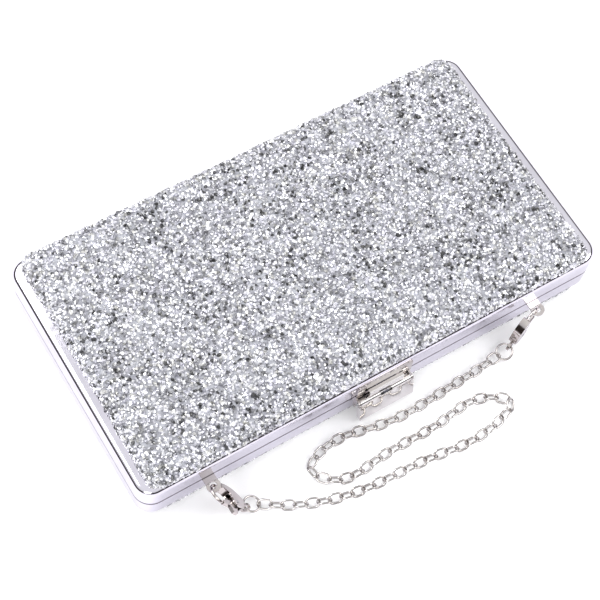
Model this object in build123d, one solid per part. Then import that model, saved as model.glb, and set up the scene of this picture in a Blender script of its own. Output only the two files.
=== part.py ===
from build123d import *
from math import ceil, cos, radians, sin
import os

# Evening bag: a hard, flat box clutch that lies on its rear face. All sizes in millimetres.
# Origin: centre of the resting (rear) face. +Z up, +X along the long side, the clasp edge at -Y and
# the hinge edge at +Y. The two halves are mirror images about the seam plane.

# ---- overall
LENGTH = 200.0
WIDTH = 105.0
SEAM_Z = 14.5
CORNER_R = 7.0

# ---- metal rim of each half
RIM_HEIGHT = 10.4
RIM_WALL = 1.1
RIM_EDGE_R = 2.4
FLANGE = 5.0
SEAM_GAP = 0.2
FIT = 0.02

# ---- soft cover, padding, board and lining of each half
COVER_INSET = 0.4
COVER_END_INSET = 4.0
COVER_WALL = 1.2
COVER_EDGE_R = 3.6
BOARD = 1.6
BOARD_PLAY = 0.3
LINING_STANDOFF = 1.4
LINING = 0.6
LINING_TOP = 1.2
POCKET_LENGTH = 118.0
POCKET_WIDTH = 58.0
POCKET_HEIGHT = 1.5
POCKET_MOUTH = 0.5
POCKET_Y = 16.0

# ---- side gussets, folded flat between the halves
GUSSET_X = 95.8
GUSSET_FOLD = 4.6
GUSSET_NEAR = 46.0
GUSSET_FAR = -10.0
GUSSET_HEIGHT = 6.0

# ---- hinges
HINGE_Y = WIDTH / 2
HINGE_X = (-62.0, 62.0)
KNUCKLE_R = 1.6
KNUCKLE = 3.8
KNUCKLE_GAP = 0.15
HINGE_PIN_R = 0.7
LEAF = 0.8
LEAF_DEPTH = 7.5
LEAF_WEB = (0.55, 1.45)
RUNNING = 0.05

# ---- clasp
CLASP_X = 1.2
CLASP_WIDTH = 24.0
PLATE = 0.7
CLASP_BARREL_R = 1.4
CLASP_DROP = 3.4
CLASP_PIN_R = 0.6
PIN_HEAD_R = 0.9
PIN_END = 0.4
BARREL_PLAY = 0.15
EAR = 0.8
CATCH_TOP = 7.6
CATCH_BOTTOM = 0.4
CATCH_CORNER_R = 1.0
NOTCH_PLAY = 0.45
BRACKET_BOTTOM = 9.2
BRACKET_TOP = 0.3
ARM_WIDTH = 15.0
ARM_TOP = 2.9
NOSE = 0.7
NOSE_REACH = 1.25
WEDGE_OUT = 5.6
WEDGE_BOTTOM = 12.6
WEDGE_FOOT = 2.3
EAR_ROOM = 0.25
LIP_Z = (1.2, 1.6)
LIP_WIDTH = 11.0
LIP = 0.4
LIP_REACH = 1.15
LIP_PLAY = 0.3
LEAF_TOP = 7.5
RIVET_R = 0.6
RIVET_HEAD_R = 1.1
RIVET_HEAD = 0.4
RIVET_DROP = 6.2
RIVET_INSET = 4.0
SPRING_R = 1.05
SPRING_WIRE_R = 0.16
SPRING_TURNS = 5
SPRING_ROOM = 5.0
SPRING_PLAY = 0.26
SPRING_PITCH = 0.44

# ---- chain tabs
TAB_X = {"left": -73.5, "right": 69.5}
TAB_WIDTH = 4.8
TAB = 0.8
TAB_PLAY = 0.1
TAB_REACH = 3.9
TAB_EAR_R = 2.7
TAB_HOLE_R = 1.32
TAB_TANG = 6.5

# ---- lobster claws
BOW_R = 3.6
HOOK_R = 0.6
HOOK_TIP = 95.0
SPINE_END = 4.5
CLAW = 3.2
CLAW_TAIL = 15.0
TAIL_EYE_R = 2.0
TAIL_HOLE_R = 1.2
TAIL = 1.0
GATE = 1.4
GATE_SLOT = 1.8
SLOT_END = 11.2
SLOT_DEPTH = 1.9
NECK = 2.6
GATE_PIVOT = (8.6, 1.1)
GATE_PIN_R = 0.5
GATE_TIP_PLAY = 0.18
GATE_PIN_PROUD = 0.3
TAIL_TURN = {"left": 90.0, "right": 0.0}
CLAW_AZIMUTH = {"left": 270.0, "right": 198.0}
CLAW_TAIL_AT = {"left": (-66.1, -65.8, 3.6), "right": (55.9, -60.9, 3.4)}

# ---- jump rings and chain
RING_R = 3.1
RING_WIRE_R = 0.42
RING_SPLIT = 0.15
RING_TILT = {"left": 12.0, "right": 20.0}
RING_HEADING = {"left": 184.0, "right": 14.0}
LINK_LENGTH = 6.2
LINK_WIDTH = 4.6
LINK_WIRE_R = 0.4
LINK_ROLL = 45.0
PITCH_MAX = 4.42
BOW_PLAY = 0.95
CHAIN_Z = 1.78
LAST_LINK_Z = 2.42
SEGMENTS = 11
# The chain lies in three runs with two turns. It passes these points between its two rings.
CHAIN_GUIDE = [
    (-46.0, -75.4), (-26.0, -81.2), (4.7, -83.6), (34.0, -84.4),
    (43.4, -79.6), (37.0, -74.0), (17.4, -73.4), (-13.2, -74.2), (-32.5, -72.2),
    (-36.6, -65.8), (-29.0, -61.0), (-5.4, -63.0), (25.7, -63.4),
]

RIM_Z = SEAM_Z - RIM_HEIGHT
LINING_Z = RIM_Z + RIM_WALL + BOARD + 2 * FIT
TAB_TOP = SEAM_Z - SEAM_GAP / 2
INNER_Y = WIDTH / 2 - RIM_WALL
PIVOT_Y = -WIDTH / 2 - PLATE - BARREL_PLAY - CLASP_BARREL_R
PIVOT_Z = SEAM_Z - CLASP_DROP


def save(shape, name):
    solids = shape.solids()
    body = solids[0] if len(solids) == 1 else Compound(children=list(solids))
    body.label = name
    export_step(body, f"parts/{name}.step")


def across_seam(shape):
    """The same piece in the other half."""
    return mirror(shape, about=Plane.XY.offset(SEAM_Z))


def slab(length, width, radius, low, high):
    """A flat block with round corners, between two heights."""
    return Pos(0, 0, low) * extrude(RectangleRounded(length, width, radius), high - low)


def block(x, y, z):
    """A box from its low and high limits on each axis."""
    size = [b - a for a, b in (x, y, z)]
    centre = [(a + b) / 2 for a, b in (x, y, z)]
    return Pos(*centre) * Box(*size)


def rod_x(radius, x_low, x_high, y, z):
    """A round bar along X."""
    return Pos((x_low + x_high) / 2, y, z) * Rot(0, 90, 0) * Cylinder(radius, x_high - x_low)


def rod_y(radius, y_low, y_high, x, z):
    """A round bar along Y."""
    return Pos(x, (y_low + y_high) / 2, z) * Rot(90, 0, 0) * Cylinder(radius, y_high - y_low)


# ---------------------------------------------------------------- rims, boards, soft covers, linings
def rim():
    top = SEAM_Z - SEAM_GAP / 2
    outer = slab(LENGTH, WIDTH, CORNER_R, RIM_Z, top)
    outer = fillet(outer.faces().sort_by(Axis.Z)[0].edges(), RIM_EDGE_R)
    inner_r = CORNER_R - RIM_WALL
    hollow = slab(LENGTH - 2 * RIM_WALL, WIDTH - 2 * RIM_WALL, inner_r, RIM_Z + RIM_WALL, top + 1)
    window = slab(LENGTH - 2 * FLANGE, WIDTH - 2 * FLANGE, inner_r, RIM_Z - 1, SEAM_Z)
    body = outer - hollow - window
    notch = KNUCKLE_R + 2 * KNUCKLE_GAP
    half = 1.5 * KNUCKLE + 3 * KNUCKLE_GAP
    for x in HINGE_X:
        body -= block((x - half, x + half), (INNER_Y - 1, HINGE_Y + 1), (SEAM_Z - notch, SEAM_Z))
    return body


def rear_rim():
    body = rim()
    half = TAB_WIDTH / 2 + TAB_PLAY
    for x in TAB_X.values():
        notch = (TAB_TOP - TAB - TAB_PLAY, SEAM_Z)
        body -= block((x - half, x + half), (-WIDTH / 2 - 1, -INNER_Y + 1), notch)
    for x in rivet_places():
        body -= rod_y(RIVET_R + FIT, -WIDTH / 2 - 1, -INNER_Y + 1, x, SEAM_Z - RIVET_DROP)
    return body


def front_rim():
    half = LIP_WIDTH / 2 + 0.4
    slot = block(
        (CLASP_X - half, CLASP_X + half),
        (-WIDTH / 2 - 1, -INNER_Y + 1),
        (SEAM_Z + LIP_Z[0] - LIP_PLAY, SEAM_Z + LIP_Z[1] + LIP_PLAY),
    )
    return across_seam(rim()) - slot


def cover():
    """Fabric cap over the padding, flat where the bag rests."""
    length = LENGTH - 2 * COVER_END_INSET
    width = WIDTH - 2 * COVER_INSET
    outer = slab(length, width, CORNER_R - COVER_INSET, 0, RIM_Z - FIT)
    outer = fillet(outer.faces().sort_by(Axis.Z)[0].edges(), COVER_EDGE_R)
    return outer - padding_block(COVER_WALL)


def padding_block(inset):
    length = LENGTH - 2 * (COVER_END_INSET + inset)
    width = WIDTH - 2 * (COVER_INSET + inset)
    body = slab(length, width, CORNER_R - COVER_INSET - inset, inset, RIM_Z - FIT)
    return fillet(body.faces().sort_by(Axis.Z)[0].edges(), COVER_EDGE_R - inset)


def padding():
    plug = slab(
        LENGTH - 2 * FLANGE - 2 * BOARD_PLAY, WIDTH - 2 * FLANGE - 2 * BOARD_PLAY,
        CORNER_R - RIM_WALL, RIM_Z - FIT, RIM_Z + RIM_WALL,
    )
    return padding_block(COVER_WALL + FIT) + plug


def board():
    inset = RIM_WALL + BOARD_PLAY
    low = RIM_Z + RIM_WALL + FIT
    return slab(LENGTH - 2 * inset, WIDTH - 2 * inset, CORNER_R - inset, low, low + BOARD)


def lining():
    inset = RIM_WALL + LINING_STANDOFF
    inner = inset + LINING
    top = SEAM_Z - LINING_TOP
    tray = slab(LENGTH - 2 * inset, WIDTH - 2 * inset, CORNER_R - inset, LINING_Z, top)
    return tray - slab(LENGTH - 2 * inner, WIDTH - 2 * inner, CORNER_R - inner, LINING_Z + LINING, top + 1)


def slip_pocket():
    """Flat pocket on the rear lining, its mouth towards the clasp."""
    low = LINING_Z + LINING + FIT
    panel = Pos(0, POCKET_Y, 0) * slab(POCKET_LENGTH, POCKET_WIDTH, 3, low, low + POCKET_HEIGHT)
    room = block(
        (-POCKET_LENGTH / 2 + 2, POCKET_LENGTH / 2 - 2),
        (POCKET_Y - POCKET_WIDTH / 2 - 1, POCKET_Y + POCKET_WIDTH / 2 - 2),
        (low + POCKET_MOUTH, low + 2 * POCKET_MOUTH),
    )
    return panel - room


def gusset(side):
    """One folded fan of fabric, wider at its free end than at the hinge."""
    outline = Polyline(
        (side * GUSSET_X, GUSSET_NEAR), (side * GUSSET_X, GUSSET_FAR),
        (side * (GUSSET_X - GUSSET_FOLD), GUSSET_FAR), (side * (GUSSET_X - GUSSET_FOLD / 2), GUSSET_NEAR),
        close=True,
    )
    return Pos(0, 0, SEAM_Z - GUSSET_HEIGHT / 2) * extrude(make_face(outline), GUSSET_HEIGHT, dir=(0, 0, 1))


# ---------------------------------------------------------------- hinges
def knuckle_span(x, index):
    """Low and high X of one of the three knuckles of the hinge at x."""
    low = x - 1.5 * KNUCKLE - KNUCKLE_GAP + index * (KNUCKLE + KNUCKLE_GAP)
    return low, low + KNUCKLE


def hinge_leaf(x, sides, bore, up):
    """Leaf plate inside the rim wall, with the knuckles it carries. up is -1 for rear, +1 for front."""
    half = 1.5 * KNUCKLE
    outer = INNER_Y - FIT
    heights = sorted((SEAM_Z + up * LEAF_WEB[0], SEAM_Z + up * LEAF_DEPTH))
    body = block((x - half, x + half), (outer - LEAF, outer), heights)
    for index in range(3):
        low, high = knuckle_span(x, index)
        if index not in sides:
            body -= rod_x(KNUCKLE_R + KNUCKLE_GAP, low - KNUCKLE_GAP, high + KNUCKLE_GAP, HINGE_Y, SEAM_Z)
            continue
        web = sorted((SEAM_Z + up * LEAF_WEB[0], SEAM_Z + up * LEAF_WEB[1]))
        body += block((low, high), (outer - LEAF, HINGE_Y), web)
        body += rod_x(KNUCKLE_R, low, high, HINGE_Y, SEAM_Z)
        body -= rod_x(bore, low - 0.01, high + 0.01, HINGE_Y, SEAM_Z)
    return body


def hinge_pin(x):
    low = knuckle_span(x, 0)[0] - 0.3
    high = knuckle_span(x, 2)[1] + 0.3
    return rod_x(HINGE_PIN_R, low, high, HINGE_Y, SEAM_Z)


# ---------------------------------------------------------------- clasp
def rivet_places():
    half = CLASP_WIDTH / 2 - RIVET_INSET
    return [CLASP_X - half, CLASP_X + half]


def clasp_bracket():
    """Plate on the rear rim with an ear at each end that holds the lever's pin."""
    half = CLASP_WIDTH / 2
    face = -WIDTH / 2 - FIT
    heights = (SEAM_Z - BRACKET_BOTTOM, SEAM_Z - BRACKET_TOP)
    body = block((CLASP_X - half, CLASP_X + half), (face - PLATE, face), heights)
    for x in rivet_places():
        body -= rod_y(RIVET_R + FIT, face - 2, face + 1, x, SEAM_Z - RIVET_DROP)
    for side in (-1, 1):
        x_limits = sorted((CLASP_X + side * half, CLASP_X + side * (half - EAR)))
        body += block(x_limits, (PIVOT_Y, face), (PIVOT_Z - CLASP_BARREL_R, PIVOT_Z + CLASP_BARREL_R))
        body += rod_x(CLASP_BARREL_R, *x_limits, PIVOT_Y, PIVOT_Z)
    return body - rod_x(CLASP_PIN_R + FIT, CLASP_X - half - 1, CLASP_X + half + 1, PIVOT_Y, PIVOT_Z)


def clasp_rivets():
    body = Part()
    face = -WIDTH / 2 - FIT - PLATE
    for x in rivet_places():
        body += rod_y(RIVET_R, face - 0.1, -INNER_Y + 0.1, x, SEAM_Z - RIVET_DROP)
        body += rod_y(RIVET_HEAD_R, face - FIT - RIVET_HEAD, face - FIT, x, SEAM_Z - RIVET_DROP)
        body += rod_y(RIVET_HEAD_R, -INNER_Y + FIT, -INNER_Y + FIT + RIVET_HEAD, x, SEAM_Z - RIVET_DROP)
    return body


def clasp_pin():
    half = CLASP_WIDTH / 2
    end = CLASP_X + half + PIN_END
    pin = rod_x(CLASP_PIN_R, CLASP_X - half - PIN_END, end, PIVOT_Y, PIVOT_Z)
    head = rod_x(PIN_HEAD_R, CLASP_X + half + FIT, end, PIVOT_Y, PIVOT_Z)
    return pin + head


def clasp_lever():
    """Rocker: a flared thumb wedge below the pin and a flat arm with a hook nose above it."""
    half = CLASP_WIDTH / 2 - EAR - BARREL_PLAY
    x_all = (CLASP_X - half, CLASP_X + half)
    body = rod_x(CLASP_BARREL_R, *x_all, PIVOT_Y, PIVOT_Z)
    arm_y = (PIVOT_Y - NOSE / 2, PIVOT_Y + NOSE / 2)
    arm_x = (CLASP_X - ARM_WIDTH / 2, CLASP_X + ARM_WIDTH / 2)
    body += block(arm_x, arm_y, (PIVOT_Z, SEAM_Z + ARM_TOP))
    body += block(arm_x, (arm_y[0], arm_y[1] + NOSE_REACH), (SEAM_Z + ARM_TOP - NOSE, SEAM_Z + ARM_TOP))
    # side view of the wedge: outer face, foot and inner face
    top_out = (PIVOT_Y - CLASP_BARREL_R + 0.05, PIVOT_Z + 0.2)
    foot_out = (-WIDTH / 2 - WEDGE_OUT, SEAM_Z - WEDGE_BOTTOM)
    foot_in = (foot_out[0] + WEDGE_FOOT, foot_out[1])
    top_in = (PIVOT_Y + 0.5, PIVOT_Z - CLASP_BARREL_R + 0.2)
    side = make_face(Plane.YZ * Polyline(top_out, foot_out, foot_in, top_in, close=True))
    cheek = Pos(CLASP_X - CLASP_WIDTH / 2, 0, 0) * extrude(side, CLASP_WIDTH, dir=(1, 0, 0))
    inner = make_face(Plane.YZ * Polyline(
        (top_out[0] + PLATE, top_out[1] - 2.2), (foot_out[0] + PLATE + 0.15, foot_out[1] + PLATE),
        (foot_in[0] + 3, foot_in[1] + PLATE), (top_in[0] + 3, top_in[1] - 1.4), close=True,
    ))
    hollow = extrude(inner, CLASP_WIDTH - 2 * PLATE, dir=(1, 0, 0))
    wedge = cheek - Pos(CLASP_X - CLASP_WIDTH / 2 + PLATE, 0, 0) * hollow
    # the ears of the bracket stand in cut-outs at the wedge's upper corners
    for side_x in (-1, 1):
        x_limits = sorted((CLASP_X + side_x * (CLASP_WIDTH / 2 + 1), CLASP_X + side_x * half))
        wedge -= rod_x(CLASP_BARREL_R + EAR_ROOM, *x_limits, PIVOT_Y, PIVOT_Z)
        wedge -= block(x_limits, (PIVOT_Y, PIVOT_Y + 4), (PIVOT_Z - CLASP_BARREL_R - 0.6, PIVOT_Z + 3))
    body += wedge
    body -= rod_x(CLASP_PIN_R + RUNNING, CLASP_X - half - 1, CLASP_X + half + 1, PIVOT_Y, PIVOT_Z)
    room = SPRING_ROOM / 2
    depths = (PIVOT_Y - SPRING_R - SPRING_PLAY, PIVOT_Y + 3)
    heights = (PIVOT_Z - SPRING_R - 2 * SPRING_PLAY, PIVOT_Z + SPRING_R + SPRING_PLAY)
    return body - block((CLASP_X - room, CLASP_X + room), depths, heights)


def clasp_spring():
    """Torsion coil on the clasp pin, between the lever and the bracket plate."""
    length = SPRING_PITCH * SPRING_TURNS
    coil = Helix(SPRING_PITCH, length, SPRING_R)
    start = Plane(origin=coil @ 0, z_dir=coil % 0)
    body = sweep(start * Circle(SPRING_WIRE_R), path=coil, is_frenet=True)
    return Pos(CLASP_X - length / 2, PIVOT_Y, PIVOT_Z) * Rot(0, 90, 0) * body


def catch_plate():
    """Plate on the front rim, notched so that the lever's nose can swing through it."""
    half = CLASP_WIDTH / 2
    face = -WIDTH / 2 - FIT
    heights = (SEAM_Z + CATCH_BOTTOM, SEAM_Z + CATCH_TOP)
    body = block((CLASP_X - half, CLASP_X + half), (face - PLATE, face), heights)
    edges = body.edges().filter_by(Axis.Y).group_by(Axis.Z)[-1]
    body = fillet(edges, CATCH_CORNER_R)
    notch = ARM_WIDTH / 2 + NOTCH_PLAY
    heights = (SEAM_Z - 1, SEAM_Z + ARM_TOP + 2 * NOTCH_PLAY)
    return body - block((CLASP_X - notch, CLASP_X + notch), (face - 2, face + 1), heights)


def catch_leaf():
    """Spring leaf inside the front rim. Its lip stands out through the wall, under the nose."""
    inner = -INNER_Y + FIT
    half = LIP_WIDTH / 2
    x_limits = (CLASP_X - half, CLASP_X + half)
    leaf = block(x_limits, (inner, inner + LIP), (SEAM_Z + LIP_Z[0], SEAM_Z + LEAF_TOP))
    lip = block(x_limits, (-WIDTH / 2 - LIP_REACH, inner + LIP), (SEAM_Z + LIP_Z[0], SEAM_Z + LIP_Z[1]))
    return leaf + lip


# ---------------------------------------------------------------- chain tabs and claws
def tab_eye(side):
    """Centre of the eye in the tab's ear, at half its thickness."""
    return Vector(TAB_X[side], -WIDTH / 2 - TAB_REACH, TAB_TOP - TAB / 2)


def chain_tab(side):
    """Strip that comes out through the seam and ends in a round ear, with a tang inside the rim."""
    eye = tab_eye(side)
    half = TAB_WIDTH / 2
    low = TAB_TOP - TAB
    inner = -INNER_Y + FIT
    strip = block((eye.X - half, eye.X + half), (eye.Y, inner + TAB), (low, TAB_TOP))
    ear = Pos(eye.X, eye.Y, eye.Z) * Cylinder(TAB_EAR_R, TAB)
    tang = block((eye.X - half, eye.X + half), (inner, inner + TAB), (TAB_TOP - TAB_TANG, TAB_TOP))
    return strip + ear + tang - Pos(eye.X, eye.Y, eye.Z) * Cylinder(TAB_HOLE_R, TAB + 2)


def claw_plane(side):
    """Local plane of a claw: origin at the bow's centre, X towards the tail, +Y the gate side."""
    azimuth = radians(CLAW_AZIMUTH[side])
    level = Vector(cos(azimuth), sin(azimuth), 0)
    centre = tab_eye(side) + level * BOW_R
    along = (Vector(*CLAW_TAIL_AT[side]) - centre).normalized()
    outward = level * -1
    across = (outward - along * outward.dot(along)).normalized()
    if side == "left":
        across = across * -1
    return Plane(origin=centre, x_dir=along, z_dir=along.cross(across))


def claw_hook():
    """Round hook wire from the tip, around the bow, into the spine."""
    tip = radians(180 - HOOK_TIP)
    bow = ThreePointArc(
        (BOW_R * cos(tip), BOW_R * sin(tip)), (-BOW_R, 0), (0, -BOW_R),
    )
    path = Wire([bow, Line((0, -BOW_R), (SPINE_END, -BOW_R))])
    section = Plane(origin=path @ 0, z_dir=path % 0) * Circle(HOOK_R)
    return sweep(section, path=path)


def claw_body(side):
    """Flat cast body, slotted for the gate, with the hook at one end and a thin eye at the tail."""
    root, end, waist = 1.2, 12.8, 1.5
    spine = Spline((root, -4.5), (6.0, -4.75), (10.0, -3.5), (end, -waist))
    inner = Spline((end, waist), (11.0, 2.6), (8.6, 3.0), (6.4, 1.6), (6.3, -0.6), (4.4, -2.3), (root, -2.9))
    edge = Wire([spine, Line((end, -waist), (end, waist)), inner, Line((root, -2.9), (root, -4.5))])
    body = Pos(0, 0, -CLAW / 2) * extrude(make_face(edge), CLAW, dir=(0, 0, 1))
    body -= block((-2, SLOT_END), (-SLOT_DEPTH, 6), (-GATE_SLOT / 2, GATE_SLOT / 2))
    body += claw_hook()
    tail = Pos(CLAW_TAIL, 0, 0) * Cylinder(TAIL_EYE_R, TAIL)
    tail += block((end - 1, CLAW_TAIL), (-NECK / 2, NECK / 2), (-TAIL / 2, TAIL / 2))
    tail -= Pos(CLAW_TAIL, 0, 0) * Cylinder(TAIL_HOLE_R, CLAW + 2)
    body += Rot(TAIL_TURN[side], 0, 0) * tail
    return body - Pos(*GATE_PIVOT, 0) * Cylinder(GATE_PIN_R + FIT, CLAW + 2)


def claw_gate():
    """Sprung gate from its pin to the hook's tip, with a thumb trigger outside the body."""
    px, py = GATE_PIVOT
    tip_x = BOW_R * cos(radians(180 - HOOK_TIP)) + GATE_TIP_PLAY
    tip_low = BOW_R - HOOK_R
    tip = [(tip_x + 0.5, tip_low - 0.1), (tip_x, tip_low), (tip_x + 0.4, BOW_R + HOOK_R)]
    trigger = [(4.6, 4.0), (5.6, 6.4), (7.6, 6.4), (8.4, 3.6)]
    heel = [(px + 1.2, py + 1.2), (px + 1.2, py - 1.0), (px, py - 1.3)]
    arm = Polyline(*tip, *trigger, *heel, close=True)
    body = Pos(0, 0, -GATE / 2) * extrude(make_face(arm), GATE, dir=(0, 0, 1))
    return body - Pos(px, py, 0) * Cylinder(GATE_PIN_R + RUNNING, GATE + 2)


def claw_pin():
    px, py = GATE_PIVOT
    return Pos(px, py, 0) * Cylinder(GATE_PIN_R, CLAW + GATE_PIN_PROUD)


# ---------------------------------------------------------------- jump rings and chain
def ring_centre(side):
    """The ring hangs from the claw's tail eye, so its centre is one radius away along its tilt."""
    heading = radians(RING_HEADING[side])
    tilt = radians(RING_TILT[side])
    towards = Vector(cos(heading) * cos(tilt), sin(heading) * cos(tilt), sin(tilt))
    tail = claw_plane(side).from_local_coords(Vector(CLAW_TAIL, 0, 0))
    return tail - towards * RING_R, towards


def jump_ring(side):
    centre, towards = ring_centre(side)
    level = Vector(-towards.Y, towards.X, 0).normalized()
    plane = Plane(origin=centre, x_dir=towards, z_dir=towards.cross(level))
    split = block((-RING_SPLIT / 2, RING_SPLIT / 2), (RING_R - 1, RING_R + 1), (-1, 1))
    return plane * (Torus(RING_R, RING_WIRE_R) - split)


def link():
    """One oval wire link, long side along X."""
    width = LINK_WIDTH - 2 * LINK_WIRE_R
    path = SlotOverall(LINK_LENGTH - 2 * LINK_WIRE_R, width).wire()
    section = Plane(origin=path @ 0, z_dir=path % 0) * Circle(LINK_WIRE_R)
    return sweep(section, path=path)


def ring_wire(side, x, y):
    """Point on the ring's wire on the side of a guide point, where the chain meets it."""
    centre, towards = ring_centre(side)
    normal = towards.cross(Vector(-towards.Y, towards.X, 0).normalized())
    away = Vector(x, y, centre.Z) - centre
    away = (away - normal * away.dot(normal)).normalized()
    return centre + away * RING_R


def chain_guide():
    """Curve through the link centres, from the left ring to the right ring."""
    bow = LINK_LENGTH / 2 - LINK_WIRE_R
    ends = []
    # the first link's bow is inside its ring; the last link only lies over its ring's wire
    first = ("left", CHAIN_GUIDE[0], bow - BOW_PLAY)
    last = ("right", CHAIN_GUIDE[-1], bow - LINK_WIRE_R)
    for side, point, reach in (first, last):
        wire = ring_wire(side, *point)
        wire = Vector(wire.X, wire.Y)
        ends.append(wire + (Vector(*point) - wire).normalized() * reach)
    return Spline([ends[0], *[Vector(*p) for p in CHAIN_GUIDE], ends[1]])


def link_places():
    """Centre and heading of every link along the guide curve."""
    guide = chain_guide()
    steps = ceil(guide.length / PITCH_MAX)
    stops = [k / steps for k in range(steps + 1)]
    return [(guide.position_at(s), guide.tangent_at(s)) for s in stops]


def chain_links():
    one = link()
    links = []
    places = link_places()
    for number, (place, heading) in enumerate(places, start=1):
        roll = LINK_ROLL if number % 2 else -LINK_ROLL
        height = CHAIN_Z
        if number == len(places):
            roll, height = 0, LAST_LINK_Z
        plane = Plane(origin=(place.X, place.Y, height), x_dir=heading, z_dir=(0, 0, 1))
        links.append(plane * Rot(roll, 0, 0) * one)
    return links


def chain_segments():
    """The links in SEGMENTS groups of nearly equal count."""
    links = chain_links()
    cuts = [round(k * len(links) / SEGMENTS) for k in range(SEGMENTS + 1)]
    return [links[a:b] for a, b in zip(cuts, cuts[1:])]


# ---------------------------------------------------------------- write every node
save(rear_rim(), "rear_frame")
save(front_rim(), "front_frame")
for half_name, place in (("rear", lambda s: s), ("front", across_seam)):
    save(place(board()), f"{half_name}_board")
    save(place(padding()), f"{half_name}_padding")
    save(place(cover()), f"{half_name}_cover")
    save(place(lining()), f"{half_name}_lining")
save(slip_pocket(), "slip_pocket")
for side_name, sign in (("left", -1), ("right", 1)):
    save(gusset(sign), f"{side_name}_gusset")

rear_leaves = Part()
front_leaves = Part()
pins = Part()
for hinge_x in HINGE_X:
    rear_leaves += hinge_leaf(hinge_x, (0, 2), HINGE_PIN_R + FIT, -1)
    front_leaves += hinge_leaf(hinge_x, (1,), HINGE_PIN_R + RUNNING, 1)
    pins += hinge_pin(hinge_x)
save(rear_leaves, "rear_hinge_leaves")
save(front_leaves, "front_hinge_leaves")
save(pins, "hinge_pins")

save(clasp_bracket(), "clasp_bracket")
save(clasp_rivets(), "clasp_rivets")
save(clasp_pin(), "clasp_pin")
save(clasp_lever(), "clasp_lever")
save(clasp_spring(), "clasp_spring")
save(catch_plate(), "catch_plate")
save(catch_leaf(), "catch_leaf")

for side_name in ("left", "right"):
    save(chain_tab(side_name), f"{side_name}_chain_tab")
    plane = claw_plane(side_name)
    save(plane * claw_body(side_name), f"{side_name}_claw_body")
    save(plane * claw_gate(), f"{side_name}_claw_gate")
    save(plane * claw_pin(), f"{side_name}_claw_pin")
    save(jump_ring(side_name), f"{side_name}_jump_ring")

for number, links in enumerate(chain_segments(), start=1):
    solids = [solid for piece in links for solid in piece.solids()]
    save(Compound(children=solids), f"chain_{number:02d}")
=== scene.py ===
from math import ceil, cos, pi, sin

import bpy
import numpy as np
from mathutils import Matrix, Vector


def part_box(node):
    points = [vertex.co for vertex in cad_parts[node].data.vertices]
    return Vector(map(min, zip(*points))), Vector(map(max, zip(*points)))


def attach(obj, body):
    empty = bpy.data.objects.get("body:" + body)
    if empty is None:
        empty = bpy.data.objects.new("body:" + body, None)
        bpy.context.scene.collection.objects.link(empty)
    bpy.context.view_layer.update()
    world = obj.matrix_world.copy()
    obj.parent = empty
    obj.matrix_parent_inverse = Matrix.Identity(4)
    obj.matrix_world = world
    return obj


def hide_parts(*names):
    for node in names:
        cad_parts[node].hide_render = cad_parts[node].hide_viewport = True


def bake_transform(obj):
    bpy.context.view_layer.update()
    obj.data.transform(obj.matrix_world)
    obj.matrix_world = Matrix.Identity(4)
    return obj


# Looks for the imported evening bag. Lengths are in metres, and MM turns millimetres into metres.
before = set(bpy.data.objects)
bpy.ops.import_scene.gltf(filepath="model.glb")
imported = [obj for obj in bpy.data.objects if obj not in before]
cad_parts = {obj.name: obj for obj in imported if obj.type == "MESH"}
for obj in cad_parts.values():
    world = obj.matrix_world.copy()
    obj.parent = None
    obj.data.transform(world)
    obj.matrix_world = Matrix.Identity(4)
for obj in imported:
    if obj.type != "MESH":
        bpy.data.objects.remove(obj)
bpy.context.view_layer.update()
MM = 0.001

SEAM = (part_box("rear_frame")[1].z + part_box("front_frame")[0].z) / 2
COVER_LOW, COVER_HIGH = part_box("rear_cover")
LINING_LOW, LINING_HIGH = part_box("rear_lining")

# ---- crystal covers
COVER_RADIUS = 6.6 * MM
CLOTH_SINK = 0.55 * MM
CLOTH = 0.5 * MM
CLOTH_STEP = 4 * MM
CLOTH_ROLL_STEPS = 6
ROLL = 3.3 * MM
WALL_LEAN = 0.05 * MM
CROWN = 0.55 * MM
RIPPLE = 0.12 * MM
SHORT_SIDE_PULL = 0.9 * MM
LONG_SIDE_PULL = 0.315 * MM
FOAM_GAP = 0.05 * MM
FOAM_BASE = 0.02 * MM

# ---- crushed crystal chips. A shade is used where the draw is above its first number
CHIP_STEP = 1.22 * MM
CHIP_ROLL_STEPS = 5
CHIP_RADIUS = (0.58 * MM, 1.08 * MM)
CHIP_HEIGHT = (0.42 * MM, 0.95 * MM)
CHIP_TILT = 0.62
REAR_CHIP_TILT = 0.45
CHIP_CORNERS = 5
BRIGHT_CHIP = (0.84, 1.0)
# The grey and near-black shades are partly the chips' own tones and partly painted reflection of the
# dark surroundings mirrored in glass facets
CHIP_SHADES = [(0.46, (0.56, 0.86)), (0.79, (0.2, 0.5)), (0.935, (0.02, 0.1))]
BLACK_CHIP = 0.12
# The faint warm and lilac casts paint the rainbow glints of the glass
PLAIN_CAST = np.array((0.985, 0.985, 1.0))
WARM_CAST = np.array((1.0, 0.99, 0.94))
LILAC_CAST = np.array((0.95, 0.94, 1.0))

# ---- linings, pocket and gussets
LINING_RADIUS = 4.5 * MM
LINING_STEP = 1.6 * MM
SATIN = 0.45 * MM
GATHER = 0.16 * MM
CREASE = 0.06 * MM
QUILT = 0.1 * MM
QUILT_PITCH = 24 * MM
PIPING_RADIUS = 0.55 * MM
PIPING_INSET = 0.45 * MM
POCKET_RADIUS = 3 * MM
POCKET_SAG = 0.3 * MM
HEM_RADIUS = 0.4 * MM
HEM_POINTS = 60
STITCH_STEP = 2.2 * MM
STITCH_RADIUS = 0.13 * MM
STITCH_INSET = 1.7 * MM
PLEATS = 5
PLEAT_POINTS = 8
FAN_LINES = 24
FAN_DEPTH = (0.3, 0.92)
SATIN_SHEET = 0.14 * MM

# ---- length of one band of the wave texture at scale 1
WAVE_LENGTH = pi / 10

# ---- painted shade line on the rims along the seam gap, from full to none by distance from the seam
SEAM_SHADE_REACH = (0.42 * MM, 0.72 * MM)
SEAM_SHADOW = (0.07, 0.045, 0.08)

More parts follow.
